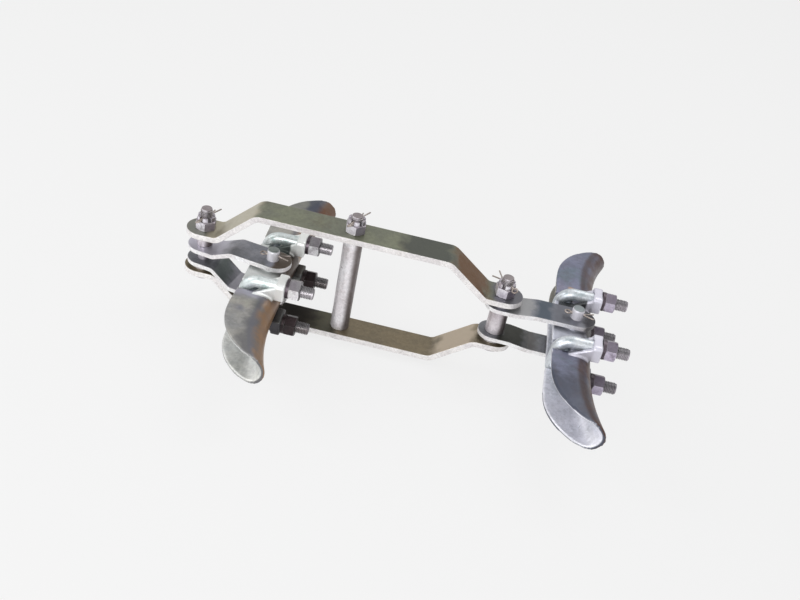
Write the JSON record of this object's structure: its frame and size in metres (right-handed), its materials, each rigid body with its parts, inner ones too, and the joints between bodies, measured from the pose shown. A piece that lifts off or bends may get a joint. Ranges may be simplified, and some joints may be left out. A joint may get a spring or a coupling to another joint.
{
  "type": "double suspension clamp",
  "caption": "Double suspension clamp for a twin overhead line: a joggled flat-bar frame carries boat-shaped conductor clamps on swinging straps.",
  "frame": {"origin": "on the hanger bolt's axis, half way between the straps of the hanger bolt's pair", "axes": "+X from the hanger bolt to the link bolt, +Y along the conductors, +Z along the bolts towards their nuts; +X points down when the clamp is in service"},
  "size_m": [0.585, 0.394, 0.191],
  "materials": {
    "galvanised_flat_bar": "satin",
    "galvanised_casting": "satin",
    "galvanised_rod": "satin",
    "galvanised_hardware": "satin",
    "galvanised_tube": "satin",
    "split_pin_wire": "satin"
  },
  "bodies": {
    "frame": {"frame_bar_upper": "galvanised_flat_bar", "frame_bar_lower": "galvanised_flat_bar", "hanger_bolt": "galvanised_hardware", "hanger_nut": "galvanised_hardware", "hanger_split_pin": "split_pin_wire", "middle_bolt": "galvanised_hardware", "middle_nut": "galvanised_hardware", "middle_split_pin": "split_pin_wire", "link_bolt": "galvanised_hardware", "link_nut": "galvanised_hardware", "link_split_pin": "split_pin_wire", "middle_sleeve": "galvanised_tube", "hanger_sleeve": "galvanised_tube", "hanger_washer": "galvanised_hardware", "link_sleeve": "galvanised_tube", "link_washer_upper": "galvanised_hardware", "link_washer_lower": "galvanised_hardware"},
    "left_straps": {"left_strap_upper": "galvanised_flat_bar", "left_strap_lower": "galvanised_flat_bar"},
    "left_clamp": {"left_clamp_body": "galvanised_casting", "left_trunnion_pin_upper": "split_pin_wire", "left_trunnion_pin_lower": "split_pin_wire", "left_spring_washer_front_upper": "galvanised_hardware", "left_u_nut_front_upper": "galvanised_hardware", "left_spring_washer_front_lower": "galvanised_hardware", "left_u_nut_front_lower": "galvanised_hardware", "left_spring_washer_back_upper": "galvanised_hardware", "left_u_nut_back_upper": "galvanised_hardware", "left_spring_washer_back_lower": "galvanised_hardware", "left_u_nut_back_lower": "galvanised_hardware"},
    "left_keeper_set": {"left_keeper": "galvanised_casting", "left_u_bolt_front": "galvanised_rod", "left_u_bolt_back": "galvanised_rod"},
    "right_straps": {"right_strap_upper": "galvanised_flat_bar", "right_strap_lower": "galvanised_flat_bar"},
    "right_clamp": {"right_clamp_body": "galvanised_casting", "right_trunnion_pin_upper": "split_pin_wire", "right_trunnion_pin_lower": "split_pin_wire", "right_spring_washer_front_upper": "galvanised_hardware", "right_u_nut_front_upper": "galvanised_hardware", "right_spring_washer_front_lower": "galvanised_hardware", "right_u_nut_front_lower": "galvanised_hardware", "right_spring_washer_back_upper": "galvanised_hardware", "right_u_nut_back_upper": "galvanised_hardware", "right_spring_washer_back_lower": "galvanised_hardware", "right_u_nut_back_lower": "galvanised_hardware"},
    "right_keeper_set": {"right_keeper": "galvanised_casting", "right_u_bolt_front": "galvanised_rod", "right_u_bolt_back": "galvanised_rod"}
  },
  "joints": [
    {"name": "left_straps_swing", "type": "hinge", "parent": "frame", "child": "left_straps", "pos_m": [0, 0, 0], "axis": [0, 0, 1], "range_deg": [-12, 31]},
    {"name": "left_clamp_tilt", "type": "hinge", "parent": "left_straps", "child": "left_clamp", "pos_m": [0.09567, -0.01601, -0.004], "axis": [0, 0, 1], "range_deg": [-15, 15]},
    {"name": "left_keeper_lift", "type": "slide", "parent": "left_clamp", "child": "left_keeper_set", "axis": [-1, 0, 0], "range_m": [0, 0.012]},
    {"name": "right_straps_swing", "type": "hinge", "parent": "frame", "child": "right_straps", "pos_m": [0.396, 0, 0.00575], "axis": [0, 0, 1], "range_deg": [-60, 60]},
    {"name": "right_clamp_tilt", "type": "hinge", "parent": "right_straps", "child": "right_clamp", "pos_m": [0.493, 0, 0.00575], "axis": [0, 0, 1], "range_deg": [-22, 22]},
    {"name": "right_keeper_lift", "type": "slide", "parent": "right_clamp", "child": "right_keeper_set", "axis": [-1, 0, 0], "range_m": [0, 0.012]}
  ]
}
